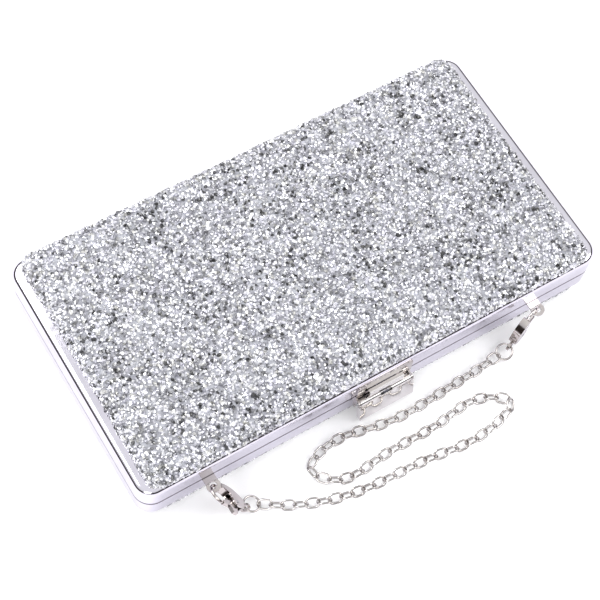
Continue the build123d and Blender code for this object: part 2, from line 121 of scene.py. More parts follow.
# ---- camera and light
CAMERA_AT = Vector((-0.1810, -0.2098, 0.5566))
CAMERA_FORWARD = Vector((0.286, 0.333, -0.898))
CAMERA_UP = Vector((0.438, 0.788, 0.432))
CAMERA_LENS = 95.6
FLOOR_IN_METAL = (0.72, 0.705, 0.76)
FLOOR_GLOW = 0.12
ROOM_STRENGTH = 0.85
ROOM_LIGHT = [(0.0, (0.8, 0.8, 0.83)), (0.6, (1.0, 1.0, 1.0))]
ROOM_IN_METAL = [
    (0.0, (0.3, 0.27, 0.27)),
    (0.1, (0.03, 0.022, 0.02)),
    (0.42, (0.05, 0.04, 0.04)),
    (0.5, (0.75, 0.74, 0.78)),
    (0.7, (1.0, 1.0, 1.0)),
    (0.96, (1.05, 1.05, 1.08)),
]


# ------------------------------------------------------------------------- node materials
def new_material(name):
    made = bpy.data.materials.new(name)
    made.use_nodes = True
    return made, made.node_tree, made.node_tree.nodes["Principled BSDF"]


def node(tree, kind, inputs=None, **settings):
    made = tree.nodes.new("ShaderNode" + kind)
    for name, value in settings.items():
        setattr(made, name, value)
    for name, value in (inputs or {}).items():
        made.inputs[name].default_value = value
    return made


def wire(tree, source, output, target, socket):
    tree.links.new(source.outputs[output], target.inputs[socket])


def place(tree, stretch=(1, 1, 1), turn=(0, 0, 0)):
    """Object coordinates, stretched and turned."""
    where = node(tree, "TexCoord")
    mapping = node(tree, "Mapping", {"Scale": stretch, "Rotation": turn})
    wire(tree, where, "Object", mapping, "Vector")
    return mapping


def noise(tree, scale, detail=4.0, stretch=(1, 1, 1), roughness=0.5):
    made = node(tree, "TexNoise", {"Scale": scale, "Detail": detail, "Roughness": roughness})
    wire(tree, place(tree, stretch), "Vector", made, "Vector")
    return made


def spread(tree, source, output, low, high, from_low=0.3, from_high=0.7):
    """A value stretched from from_low..from_high to low..high."""
    ends = {"From Min": from_low, "From Max": from_high, "To Min": low, "To Max": high}
    made = node(tree, "MapRange", ends)
    wire(tree, source, output, made, "Value")
    return made


def two_tone(tree, source, output, dark, light, edges=(0.35, 0.65)):
    ramp = node(tree, "ValToRGB")
    ramp.color_ramp.elements[0].position = edges[0]
    ramp.color_ramp.elements[1].position = edges[1]
    ramp.color_ramp.elements[0].color = (*dark, 1)
    ramp.color_ramp.elements[1].color = (*light, 1)
    wire(tree, source, output, ramp, "Fac")
    return ramp


def bump(tree, shader, source, output, height, strength=1.0, under=None):
    made = node(tree, "Bump", {"Strength": strength, "Distance": height})
    wire(tree, source, output, made, "Height")
    if under is not None:
        wire(tree, under, "Normal", made, "Normal")
    wire(tree, made, "Normal", shader, "Normal")
    return made


def painted_seam_shade(tree, tone):
    """Painted shade of the seam gap: a dark line on the rims along the seam. Returns the node that
    carries the colour.
    """
    split = node(tree, "SeparateXYZ")
    wire(tree, place(tree), "Vector", split, "Vector")
    away = node(tree, "Math", {1: SEAM}, operation="SUBTRACT")
    wire(tree, split, "Z", away, 0)
    gap = node(tree, "Math", operation="ABSOLUTE")
    wire(tree, away, "Value", gap, 0)
    share = spread(tree, gap, "Value", 1.0, 0.0, *SEAM_SHADE_REACH)
    mixed = node(tree, "Mix", {7: (*SEAM_SHADOW, 1)}, data_type="RGBA")
    wire(tree, share, "Result", mixed, 0)
    wire(tree, tone, "Color", mixed, 6)
    return mixed


def metal(name, light, dark, gloss, scratch=1.0, edge=0.12 * MM, seam=False):
    """Plated or plain metal: soft tarnish clouds, fine rubbed scratches and worn, rounded edges."""
    made, tree, shader = new_material(name)
    shader.inputs["Metallic"].default_value = 1.0
    clouds = noise(tree, 70, 5)
    tone = two_tone(tree, clouds, "Fac", dark, light)
    # seam=True paints a dark shade line along the seam gap
    if seam:
        wire(tree, painted_seam_shade(tree, tone), 2, shader, "Base Color")
    else:
        wire(tree, tone, "Color", shader, "Base Color")
    rubbed = noise(tree, 900, 6, stretch=(0.12, 1, 1), roughness=0.7)
    rough = spread(tree, rubbed, "Fac", gloss[0], gloss[1])
    wire(tree, rough, "Result", shader, "Roughness")
    rounded = node(tree, "Bevel", {"Radius": edge}, samples=4)
    waves = noise(tree, 45, 1)
    wavy = bump(tree, shader, waves, "Fac", 0.02 * MM, 0.35, rounded)
    bump(tree, shader, rubbed, "Fac", 0.0012 * MM, scratch, wavy)
    return made


def weave(tree, shader, pitch, depth):
    """Crossed threads of a woven cloth."""
    last = None
    for turn in (0, pi / 2):
        look = {"Scale": WAVE_LENGTH / pitch, "Distortion": 0.8, "Detail": 2.0}
        threads = node(tree, "TexWave", look)
        wire(tree, place(tree, turn=(0, 0, turn)), "Vector", threads, "Vector")
        last = bump(tree, shader, threads, "Fac", depth, 0.5, last)


def satin(name, light, dark):
    """Soft woven satin: broad clouds of sheen painted into its colour, fine slubs along the cloth and
    shallow creases.
    """
    made, tree, shader = new_material(name)
    clouds = noise(tree, 55, 4, stretch=(1, 0.4, 1))
    # Painted sheen: the colour goes lighter and darker in broad clouds
    wire(tree, two_tone(tree, clouds, "Fac", dark, light), "Color", shader, "Base Color")
    slubs = noise(tree, 1500, 4, stretch=(0.15, 1, 1))
    wire(tree, spread(tree, slubs, "Fac", 0.42, 0.62), "Result", shader, "Roughness")
    shader.inputs["Sheen Weight"].default_value = 0.5
    shader.inputs["Specular IOR Level"].default_value = 0.35
    creases = noise(tree, 70, 3, stretch=(1, 0.5, 1))
    creased = bump(tree, shader, creases, "Fac", 0.5 * MM, 0.3)
    bump(tree, shader, slubs, "Fac", 0.015 * MM, 0.6, creased)
    return made


def crystal():
    """Clear and silvered glass chips. Each chip has its own tint and gloss."""
    made, tree, shader = new_material("crushed_crystal")
    tint = node(tree, "Attribute", attribute_name="tint")
    flecks = noise(tree, 900, 3, roughness=0.7)
    veins = two_tone(tree, flecks, "Fac", (0.62, 0.63, 0.68), (1, 1, 1), (0.36, 0.6))
    mixed = node(tree, "Mix", {"Factor": 1.0}, data_type="RGBA", blend_type="MULTIPLY")
    wire(tree, tint, "Color", mixed, 6)
    wire(tree, veins, "Color", mixed, 7)
    wire(tree, mixed, 2, shader, "Base Color")
    gloss = node(tree, "Attribute", attribute_name="gloss")
    wire(tree, gloss, "Fac", shader, "Metallic")
    rough = spread(tree, flecks, "Fac", 0.05, 0.3)
    wire(tree, rough, "Result", shader, "Roughness")
    shader.inputs["Coat Weight"].default_value = 0.7
    shader.inputs["Coat Roughness"].default_value = 0.04
    shader.inputs["IOR"].default_value = 1.6
    bump(tree, shader, flecks, "Fac", 0.03 * MM, 0.6)
    return made


def backing():
    """Grey cloth that the chips are glued to, with glue sheen."""
    made, tree, shader = new_material("cover_backing")
    clouds = noise(tree, 260, 4)
    tone = two_tone(tree, clouds, "Fac", (0.2, 0.2, 0.23), (0.42, 0.43, 0.47))
    wire(tree, tone, "Color", shader, "Base Color")
    wire(tree, spread(tree, clouds, "Fac", 0.35, 0.7), "Result", shader, "Roughness")
    weave(tree, shader, 0.4 * MM, 0.05 * MM)
    return made


def foam():
    made, tree, shader = new_material("foam_sheet")
    cells = node(tree, "TexVoronoi", {"Scale": 1800})
    wire(tree, place(tree), "Vector", cells, "Vector")
    tone = two_tone(tree, cells, "Distance", (0.9, 0.89, 0.83), (0.68, 0.66, 0.6), (0.1, 0.8))
    wire(tree, tone, "Color", shader, "Base Color")
    shader.inputs["Roughness"].default_value = 0.9
    bump(tree, shader, cells, "Distance", 0.2 * MM, 0.7)
    return made


def cardboard():
    made, tree, shader = new_material("grey_board")
    fibres = noise(tree, 500, 8, stretch=(0.3, 1, 1), roughness=0.75)
    tone = two_tone(tree, fibres, "Fac", (0.3, 0.27, 0.23), (0.5, 0.46, 0.4))
    wire(tree, tone, "Color", shader, "Base Color")
    wire(tree, spread(tree, fibres, "Fac", 0.7, 0.95), "Result", shader, "Roughness")
    bump(tree, shader, fibres, "Fac", 0.05 * MM, 0.6)
    return made


def thread():
    made, tree, shader = new_material("sewing_thread")
    twist = node(tree, "TexWave", {"Scale": 2500, "Distortion": 1.0})
    wire(tree, place(tree, turn=(0, 0, 0.7)), "Vector", twist, "Vector")
    tone = two_tone(tree, twist, "Fac", (0.42, 0.42, 0.46), (0.7, 0.7, 0.74))
    wire(tree, tone, "Color", shader, "Base Color")
    shader.inputs["Roughness"].default_value = 0.6
    bump(tree, shader, twist, "Fac", 0.03 * MM, 0.6)
    return made


# ------------------------------------------------------------------------- mesh helpers
def add_mesh(name, points, faces, material, smooth=True):
    mesh = bpy.data.meshes.new(name)
    mesh.from_pydata([tuple(p) for p in points], [], [tuple(f) for f in faces])
    mesh.validate()
    mesh.polygons.foreach_set("use_smooth", [smooth] * len(mesh.polygons))
    mesh.materials.append(material)
    mesh.update()
    made = bpy.data.objects.new(name, mesh)
    bpy.context.scene.collection.objects.link(made)
    return made


def finish_piece(piece, body, slot, *nodes):
    """Fixes a piece to its body, and hides the CAD nodes that it stands for. The slot argument is not
    used.
    """
    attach(piece, body)
    if nodes:
        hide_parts(*nodes)
    return piece


def grid_lines(half, insets, step):
    """Places from -half to half: close lines at the border's insets, even ones between."""
    band = [-half + inset for inset in insets]
    count = max(2, ceil(-2 * band[-1] / step))
    middle = [band[-1] * (1 - 2 * k / count) for k in range(1, count)]
    return np.array(band + middle + [-x for x in reversed(band)])


def rounded_grid(half_x, half_y, radius, profile, step):
    """Grid over a rounded rectangle, as an array of points.

    profile lists (inset, height) from the border inwards. The border rings follow it, and
    the middle is level. Two grids match when their profiles end at the same inset.
    """
    insets = [inset for inset, height in profile]
    x_lines = grid_lines(half_x, insets, step)
    y_lines = grid_lines(half_y, insets, step)
    x, y = np.meshgrid(x_lines, y_lines, indexing="ij")
    over_x = np.abs(x) - (half_x - radius)
    over_y = np.abs(y) - (half_y - radius)
    corner = (over_x > 0) & (over_y > 0)
    reach = np.hypot(np.where(corner, over_x, 1), np.where(corner, over_y, 1))
    share = np.where(corner, np.maximum(over_x, over_y) / reach, 1)
    x = np.where(corner, np.sign(x) * (half_x - radius + over_x * share), x)
    y = np.where(corner, np.sign(y) * (half_y - radius + over_y * share), y)
    last = len(profile) - 1
    ring_x = np.minimum(np.arange(len(x_lines)), np.arange(len(x_lines))[::-1])
    ring_y = np.minimum(np.arange(len(y_lines)), np.arange(len(y_lines))[::-1])
    ring = np.minimum(np.minimum(ring_x[:, None], ring_y[None, :]), last)
    heights = np.array([height for inset, height in profile])
    return np.stack([x, y, heights[ring]], axis=-1)


def closed_sheet(name, upper, lower, material):
    """A closed skin between two grids that have the same number of lines."""
    if upper.shape != lower.shape:
        raise ValueError(f"{name}: its two grids differ, {upper.shape} and {lower.shape}")
    rows, columns = upper.shape[:2]
    points = np.concatenate([upper.reshape(-1, 3), lower.reshape(-1, 3)])
    below = rows * columns
    faces = []
    for i in range(rows - 1):
        for j in range(columns - 1):
            a, b = i * columns + j, (i + 1) * columns + j
            faces.append((a, b, b + 1, a + 1))
            faces.append((below + a, below + a + 1, below + b + 1, below + b))
    border = [(i, 0) for i in range(rows)]
    border += [(rows - 1, j) for j in range(1, columns)]
    border += [(i, columns - 1) for i in range(rows - 2, -1, -1)]
    border += [(0, j) for j in range(columns - 2, 0, -1)]
    ids = [i * columns + j for i, j in border]
    for a, b in zip(ids, ids[1:] + ids[:1]):
        faces.append((b, a, below + a, below + b))
    return add_mesh(name, points, faces, material)


def outward(grid):
    """Unit normals of a grid, on its upper side."""
    along_x = np.gradient(grid, axis=0)
    along_y = np.gradient(grid, axis=1)
    normal = np.cross(along_x, along_y)
    return normal / np.maximum(np.linalg.norm(normal, axis=-1, keepdims=True), 1e-12)


def in_half(points, front):
    """Points given as height inside the rear half, or the same place in the front half."""
    if not front:
        return points
    turned = points.copy()
    turned[..., 2] = 2 * SEAM - points[..., 2]
    return turned


def flip(piece):
    piece.data.flip_normals()
    return piece


def tube(name, path, radius, material, sides=10, closed=True):
    """Round cord along a path of points."""
    path = np.array(path)
    count = len(path)
    ahead = np.roll(path, -1, axis=0) - np.roll(path, 1, axis=0)
    if not closed:
        ahead[0] = path[1] - path[0]
        ahead[-1] = path[-1] - path[-2]
    ahead /= np.linalg.norm(ahead, axis=1, keepdims=True)
    side = np.cross(ahead, (0, 0, 1.0))
    side /= np.linalg.norm(side, axis=1, keepdims=True)
    up = np.cross(side, ahead)
    angles = np.linspace(0, 2 * pi, sides, endpoint=False)
    ring = side[:, None] * np.cos(angles)[None, :, None] + up[:, None] * np.sin(angles)[None, :, None]
    points = (path[:, None] + radius * ring).reshape(-1, 3)
    faces = []
    for i in range(count if closed else count - 1):
        for j in range(sides):
            a, b = i * sides + j, i * sides + (j + 1) % sides
            c, d = ((i + 1) % count) * sides + j, ((i + 1) % count) * sides + (j + 1) % sides
            faces.append((a, c, d, b))
    if not closed:
        faces.append(tuple(range(sides)))
        faces.append(tuple(reversed(range((count - 1) * sides, count * sides))))
    return add_mesh(name, points, faces, material)


def border_path(half_x, half_y, radius, z, step):
    """Evenly spaced points round a rounded rectangle."""
    points = []
    corners = ((1, 1, 0), (-1, 1, pi / 2), (-1, -1, pi), (1, -1, 3 * pi / 2))
    arc = max(4, ceil(radius * pi / 2 / step))
    for k, (sx, sy, start) in enumerate(corners):
        centre = np.array((sx * (half_x - radius), sy * (half_y - radius)))
        for i in range(arc + 1):
            angle = start + pi / 2 * i / arc
            points.append((*(centre + radius * np.array((cos(angle), sin(angle)))), z))
        nx, ny, first = corners[(k + 1) % 4]
        goal = np.array((nx * (half_x - radius), ny * (half_y - radius)))
        goal = goal + radius * np.array((cos(first), sin(first)))
        here = np.array(points[-1][:2])
        count = max(2, ceil(np.linalg.norm(goal - here) / step))
        points += [(*(here + (goal - here) * i / count), z) for i in range(1, count)]
    return points


# ------------------------------------------------------------------------- crystal covers
def roll_profile(low, high, roll, steps):
    """Border of a padded cover: a short wall, then a quarter round up to the top."""
    wall_top = high - roll
    profile = [(0.0, low), (WALL_LEAN, wall_top)]
    for k in range(1, steps + 1):
        angle = pi / 2 * k / steps
        profile.append((WALL_LEAN + roll * (1 - cos(angle)), wall_top + roll * sin(angle)))
    return profile


def shape_cover(grid, crown):
    """Crowns the middle, and pulls the sides in between their corners."""
    half_x, half_y = COVER_HIGH.x, COVER_HIGH.y
    shaped = grid.copy()
    u = np.clip(grid[..., 0] / half_x, -1, 1)
    v = np.clip(grid[..., 1] / half_y, -1, 1)
    shaped[..., 0] -= u ** 3 * SHORT_SIDE_PULL * (1 - v ** 2)
    shaped[..., 1] -= v ** 3 * LONG_SIDE_PULL * (1 - u ** 2)
    if crown:
        swell = (1 - u ** 4) * (1 - v ** 4)
        ripple = RIPPLE * np.sin(u * 21 + 2 * v) * np.sin(v * 13 - u * 3)
        shaped[..., 2] += (crown + ripple) * swell
    return shaped


def cover_grid(sink, step, crown, roll_steps):
    """Cover surface at a depth below its outer face, measured up from the rim towards the face."""
    depth = COVER_HIGH.z - COVER_LOW.z
    profile = roll_profile(0.0, depth - sink, ROLL - 0.5 * sink, roll_steps)
    grid = rounded_grid(COVER_HIGH.x - sink, COVER_HIGH.y - sink, COVER_RADIUS - sink, profile, step)
    return shape_cover(grid, crown)


def onto_face(points, front):
    """Points measured up from the rim, moved to the front or rear cover."""
    placed = points.copy()
    if front:
        placed[..., 2] = 2 * SEAM - COVER_HIGH.z + points[..., 2]
    else:
        placed[..., 2] = COVER_HIGH.z - points[..., 2]
    return placed


def cover_cloth(side, front, material):
    """Cloth shell that the chips are glued to."""
    crown = CROWN if front else 0.0
    outer = onto_face(cover_grid(CLOTH_SINK, CLOTH_STEP, crown, CLOTH_ROLL_STEPS), front)
    inner = onto_face(cover_grid(CLOTH_SINK + CLOTH, CLOTH_STEP, crown, CLOTH_ROLL_STEPS), front)
    piece = closed_sheet(f"{side}_cover_cloth", outer, inner, material)
    if not front:
        flip(piece)
    return finish_piece(piece, f"{side}_half", "crystal_fabric", f"{side}_cover")


def cover_foam(side, front, material):
    """Foam that fills the cloth shell down to the rim."""
    crown = CROWN if front else 0.0
    grid = cover_grid(CLOTH_SINK + CLOTH + FOAM_GAP, CLOTH_STEP, crown, CLOTH_ROLL_STEPS)
    base = grid.copy()
    base[..., 2] = FOAM_BASE
    piece = closed_sheet(f"{side}_foam", onto_face(grid, front), onto_face(base, front), material)
    if not front:
        flip(piece)
    return finish_piece(piece, f"{side}_half", "padding", f"{side}_padding")


def chip_template(draw, count):
    """Corner points of many irregular cut chips, each in its own frame with +Z out of the cover."""
    n = CHIP_CORNERS
    even = np.linspace(0, 2 * pi, n, endpoint=False)[None]
    turn = even + draw.uniform(-0.35, 0.35, (count, n))
    radius = draw.uniform(*CHIP_RADIUS, (count, 1)) * draw.uniform(0.72, 1.2, (count, n))
    height = draw.uniform(*CHIP_HEIGHT, (count, 1))
    bottom = np.stack([radius * np.cos(turn), radius * np.sin(turn), -0.45 * height + 0 * turn], axis=-1)
    taper = draw.uniform(0.35, 0.8, (count, n))
    rise = height * draw.uniform(0.3, 0.62, (count, n))
    lean = draw.uniform(-0.2, 0.2, (count, 1, 2)) * radius.mean(axis=1)[:, None, None]
    top = np.stack([radius * taper * np.cos(turn), radius * taper * np.sin(turn), rise], axis=-1)
    top[..., :2] += lean
    return np.concatenate([bottom, top], axis=1)


def chip_faces(count):
    """A fan on top, a skirt of triangles and a base: all flat triangles, for 10 points a chip."""
    n = CHIP_CORNERS
    one = [(n, n + k, n + k + 1) for k in range(1, n - 1)]
    one += [(0, k + 1, k) for k in range(1, n - 1)]
    for k in range(n):
        following = (k + 1) % n
        one += [(k, following, n + k), (following, n + following, n + k)]
    return (np.array(one)[None] + 2 * n * np.arange(count)[:, None, None]).reshape(-1, 3)


def chip_tints(draw, places):
    """Mostly white and silver chips, some grey, a few near-black, in soft clouds. The grey and
    near-black tints are partly painted reflection of dark surroundings in the glass.

    Returns the tints, with their faint warm and lilac casts that paint rainbow glints, and the glosses.
    """
    count = len(places)
    x, y = places[:, 0] / MM, places[:, 1] / MM
    cloud = np.sin(x / 9.1 + 1.3 * np.sin(y / 13)) * np.sin(y / 7.3 + 1.7 * np.sin(x / 17 + 2))
    cloud = cloud + 0.6 * np.sin(x / 3.9 + y / 5.3) * np.sin(y / 3.1 - x / 6.1)
    pick = draw.uniform(0, 1, count) - 0.07 * cloud
    value = draw.uniform(*BRIGHT_CHIP, count)
    for above, shade in CHIP_SHADES:
        value = np.where(pick > above, draw.uniform(*shade, count), value)
    cast = draw.uniform(0, 1, (count, 1))
    hue = np.where(cast > 0.9, WARM_CAST, np.where(cast < 0.35, LILAC_CAST, PLAIN_CAST))
    gloss = np.where(value < BLACK_CHIP, 0.25, draw.uniform(0.2, 0.75, count))
    return value[:, None] * hue, gloss


def chips(side, front, material, seed):
    """The crushed chips of one cover: one to each small cell, turned and tilted at random."""
    draw = np.random.RandomState(seed)
    surface = cover_grid(0.5 * CLOTH_SINK, CHIP_STEP, CROWN if front else 0.0, CHIP_ROLL_STEPS)
    normals = outward(surface)
    shares = draw.uniform(0.05, 0.95, (2,) + tuple(n - 1 for n in surface.shape[:2]))

    def within(values):
        s, t = shares[0][..., None], shares[1][..., None]
        near = values[:-1, :-1] * (1 - s) + values[1:, :-1] * s
        far = values[:-1, 1:] * (1 - s) + values[1:, 1:] * s
        return (near * (1 - t) + far * t).reshape(-1, 3)

    places, up = within(surface), within(normals)
    count = len(places)
    up += draw.normal(0, 0.5 * CHIP_TILT, (count, 3)) * (1.0 if front else REAR_CHIP_TILT)
    up /= np.linalg.norm(up, axis=1, keepdims=True)
    heading = draw.normal(0, 1, (count, 3))
    across = np.cross(up, heading)
    across /= np.linalg.norm(across, axis=1, keepdims=True)
    other = np.cross(up, across)
    corners = chip_template(draw, count)
    axes = np.stack([across, other, up], axis=1)
    points = places[:, None] + np.einsum("cki,cij->ckj", corners, axes)
    points = onto_face(points, front)
    if not front:
        points[..., 2] = np.maximum(points[..., 2], 0.0)
    faces = chip_faces(count)
    if not front:
        faces = faces[:, ::-1]
    piece = add_mesh(f"{side}_crystals", points.reshape(-1, 3), faces, material, smooth=False)
    tint, gloss = chip_tints(draw, places)
    corner_count = 2 * CHIP_CORNERS
    colours = np.ones((count * corner_count, 4), np.float32)
    colours[:, :3] = np.repeat(tint, corner_count, axis=0)
    attribute = piece.data.attributes.new("tint", "FLOAT_COLOR", "POINT")
    attribute.data.foreach_set("color", colours.ravel())
    attribute = piece.data.attributes.new("gloss", "FLOAT", "POINT")
    attribute.data.foreach_set("value", np.repeat(gloss, corner_count).astype(np.float32))
    return finish_piece(piece, f"{side}_half", "crystal_fabric")


# ------------------------------------------------------------------------- linings, pocket, gussets
def lining_tray(side, front, material):
    """Satin tray: gathered walls, a soft fillet and a lightly quilted floor."""
    low, high = LINING_LOW.z, LINING_HIGH.z
    bottom = low + SATIN
    top_profile = [
        (0.0, high - 0.1 * MM),
        (0.5 * SATIN, high),
        (SATIN, high - 0.1 * MM),
        (SATIN + 0.08 * MM, high - 1.2 * MM),
        (SATIN + 0.12 * MM, bottom + 2.2 * MM),
        (SATIN + 0.3 * MM, bottom + 1.0 * MM),
        (SATIN + 0.8 * MM, bottom + 0.3 * MM),
        (SATIN + 1.7 * MM, bottom - 0.02 * MM),
        (SATIN + 4.0 * MM, bottom),
    ]
    under_profile = [(0.0, high - 0.4 * MM), (0.02 * MM, low + 0.3 * MM)]
    under_profile += [(inset, low) for inset, height in top_profile[2:]]
    half_x, half_y = LINING_HIGH.x, LINING_HIGH.y
    upper = rounded_grid(half_x, half_y, LINING_RADIUS, top_profile, LINING_STEP)
    lower = rounded_grid(half_x, half_y, LINING_RADIUS, under_profile, LINING_STEP)
    rings = len(top_profile)
    x, y = upper[..., 0], upper[..., 1]
    level = np.zeros(x.shape, bool)
    level[rings:-rings, rings:-rings] = True
    quilt = np.sin(pi * x / QUILT_PITCH) ** 2 * np.sin(pi * y / QUILT_PITCH) ** 2
    crease = 0.5 + 0.5 * np.sin(x / (3.1 * MM) + 2 * np.sin(y / (11 * MM)))
    upper[..., 2] += np.where(level, CREASE * crease + QUILT * quilt, 0)
    gathers = GATHER * np.sin((x + y) / (0.9 * MM)) * np.sin((x - 0.7 * y) / (2.3 * MM))
    on_wall = ~level & (upper[..., 2] > bottom + 0.2 * MM) & (upper[..., 2] < high - 0.5 * MM)
    upper[..., 2] += np.where(on_wall, gathers, 0)
    piece = closed_sheet(f"{side}_satin_lining", in_half(upper, front), in_half(lower, front), material)
    if front:
        flip(piece)
    return finish_piece(piece, f"{side}_half", "satin_lining", f"{side}_lining")


def lining_piping(side, front, material):
    """Cord sewn round the top edge of the lining."""
    z = LINING_HIGH.z - 0.05 * MM
    half_x, half_y = LINING_HIGH.x - PIPING_INSET, LINING_HIGH.y - PIPING_INSET
    path = border_path(half_x, half_y, LINING_RADIUS - PIPING_INSET, z, 1.2 * MM)
    piece = tube(f"{side}_lining_piping", in_half(np.array(path), front), PIPING_RADIUS, material, 8)
    return finish_piece(piece, f"{side}_half", "satin_lining")


def slip_pocket(material):
    """Flat pocket sewn to the rear lining, with a hem along its sagging mouth."""
    low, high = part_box("slip_pocket")
    centre = (low + high) / 2
    half = (high - low) / 2
    thick = high.z - low.z
    top_profile = [
        (0.0, low.z + 0.3 * thick),
        (0.4 * MM, low.z + 0.8 * thick),
        (1.2 * MM, high.z - 0.1 * MM),
        (2.2 * MM, high.z - 0.35 * MM),
        (4.0 * MM, high.z - 0.1 * MM),
    ]
    flat_profile = [(inset, low.z) for inset, height in top_profile]
    upper = rounded_grid(half.x, half.y, POCKET_RADIUS, top_profile, 2 * MM)
    lower = rounded_grid(half.x, half.y, POCKET_RADIUS, flat_profile, 2 * MM)
    x, y = upper[..., 0], upper[..., 1]
    sag = POCKET_SAG * np.cos(pi * x / (2.2 * half.x)) * (y < 0) * (-y / half.y)
    upper[..., 2] += sag
    for grid in (upper, lower):
        grid[..., 0] += centre.x
        grid[..., 1] += centre.y
    piece = closed_sheet("satin_slip_pocket", upper, lower, material)
    finish_piece(piece, "rear_half", "satin_lining", "slip_pocket")
    hem_y = low.y + 1.3 * MM
    hem_x = np.linspace(low.x + 2.5 * MM, high.x - 2.5 * MM, HEM_POINTS)
    lift = POCKET_SAG * np.cos(pi * (hem_x - centre.x) / (2.2 * half.x))
    path = np.stack([hem_x, np.full(HEM_POINTS, hem_y), high.z + lift], axis=1)
    hem = tube("slip_pocket_hem", path, HEM_RADIUS, material, 8, closed=False)
    return finish_piece(hem, "rear_half", "satin_lining")


def stitch_row(name, body, path, material):
    """Short raised stitches along a path of points."""
    path = np.array(path)
    corners, faces = [], []
    for k in range(len(path) - 1):
        start, end = path[k], path[k + 1]
        along = (end - start) / np.linalg.norm(end - start)
        side = np.array((-along[1], along[0], 0.0))
        middle, reach = (start + end) / 2, 0.36 * np.linalg.norm(end - start)
        first = len(corners)
        for t, width in ((-1, 0.35), (-0.5, 1.0), (0.5, 1.0), (1, 0.35)):
            for angle in range(6):
                turn = pi / 3 * angle
                offset = side * cos(turn) + np.array((0, 0, 1.0)) * sin(turn)
                corners.append(middle + along * reach * t + offset * STITCH_RADIUS * width)
        for ring in range(3):
            for j in range(6):
                a, b = first + ring * 6 + j, first + ring * 6 + (j + 1) % 6
                faces.append((a, a + 6, b + 6, b))
        faces.append(tuple(range(first, first + 6)))
        faces.append(tuple(range(first + 23, first + 17, -1)))
    piece = add_mesh(name, corners, faces, material)
    return finish_piece(piece, body, "satin_lining")


def pocket_stitches(material):
    """Stitches down one side of the pocket, along its bottom and up the other side."""
    low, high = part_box("slip_pocket")
    z = high.z - 0.2 * MM
    left, right = low.x + STITCH_INSET, high.x - STITCH_INSET
    mouth, seam = low.y + 2 * STITCH_INSET, high.y - STITCH_INSET
    corners = [(left, mouth), (left, seam), (right, seam), (right, mouth)]
    path = []
    for a, b in zip(corners, corners[1:]):
        a, b = np.array(a), np.array(b)
        count = ceil(np.linalg.norm(b - a) / STITCH_STEP)
        path += [(*(a + (b - a) * k / count), z) for k in range(count)]
    path.append((*corners[-1], z))
    return stitch_row("slip_pocket_stitches", "rear_half", path, material)


def gusset_fan(side, material):
    """Pleated satin fan. Its folds run towards the hinge, deeper at the free end."""
    low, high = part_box(f"{side}_gusset")
    sign = -1 if side == "left" else 1
    outer_x = high.x if sign > 0 else -low.x
    reach = high.x - low.x
    rows = PLEATS * 2 * PLEAT_POINTS + 1
    share = np.linspace(0, 1, rows)
    fold = 0.5 - 0.5 * np.cos(share * PLEATS * 2 * pi)
    y_places = np.linspace(high.y, low.y, FAN_LINES)
    depth = np.linspace(*FAN_DEPTH, FAN_LINES) * reach
    sheets = []
    for offset in (0, SATIN_SHEET):
        x = outer_x - offset - depth[:, None] * fold[None, :]
        y = np.repeat(y_places[:, None], rows, axis=1)
        z = np.repeat((low.z + share * (high.z - low.z))[None, :], FAN_LINES, axis=0)
        sheets.append(np.stack([sign * x, y, z], axis=-1))
    piece = closed_sheet(f"{side}_gusset_fan", sheets[0], sheets[1], material)
    if sign < 0:
        flip(piece)
    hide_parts(f"{side}_gusset")
    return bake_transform(piece)


# ------------------------------------------------------------------------- finishes on the CAD nodes
def paint(material, *names):
    for name in names:
        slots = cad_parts[name].data.materials
        slots.clear()
        slots.append(material)


def paint_hardware():
    """Finishes for the CAD nodes that stay showing, and for the boards."""
    polish, worn_polish = (0.04, 0.12), (0.06, 0.16)
    # The rims carry the painted shade line along their seam
    rim = metal("polished_nickel_rim", (0.84, 0.82, 0.89), (0.76, 0.74, 0.81), polish, 0.7, seam=True)
    hardware = metal(
        "polished_nickel_hardware", (0.74, 0.7, 0.68), (0.55, 0.5, 0.48), polish, 0.8, 0.1 * MM)
    # The lever's nickel is painted lighter than the other hardware: a painted reflection of the bright
    # floor in its face
    lever = metal("nickel_lever_painted_bright", (0.97, 0.95, 0.93), (0.86, 0.83, 0.8), (0.03, 0.1), 0.8)
    wire_metal = metal(
        "bright_nickel_wire", (0.66, 0.64, 0.62), (0.46, 0.43, 0.41), worn_polish, 0.8, 0.04 * MM)
    steel = metal("drawn_steel", (0.66, 0.66, 0.67), (0.5, 0.5, 0.52), (0.2, 0.38), 1.5, 0.08 * MM)
    spring = metal(
        "blued_spring_steel", (0.42, 0.42, 0.47), (0.25, 0.26, 0.33), (0.18, 0.32), 1.2, 0.05 * MM)
    paint(rim, "front_frame", "rear_frame")
    paint(lever, "clasp_lever")
    paint(hardware, "clasp_bracket", "catch_plate")
    for side in ("left", "right"):
        paint(hardware, f"{side}_chain_tab", f"{side}_claw_body", f"{side}_claw_gate")
        paint(wire_metal, f"{side}_jump_ring")
        paint(steel, f"{side}_claw_pin")
    paint(wire_metal, *[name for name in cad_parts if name.startswith("chain_")])
    paint(steel, "front_hinge_leaves", "rear_hinge_leaves", "hinge_pins")
    paint(steel, "clasp_rivets", "clasp_pin")
    paint(spring, "clasp_spring", "catch_leaf")
    paint(cardboard(), "front_board", "rear_board")


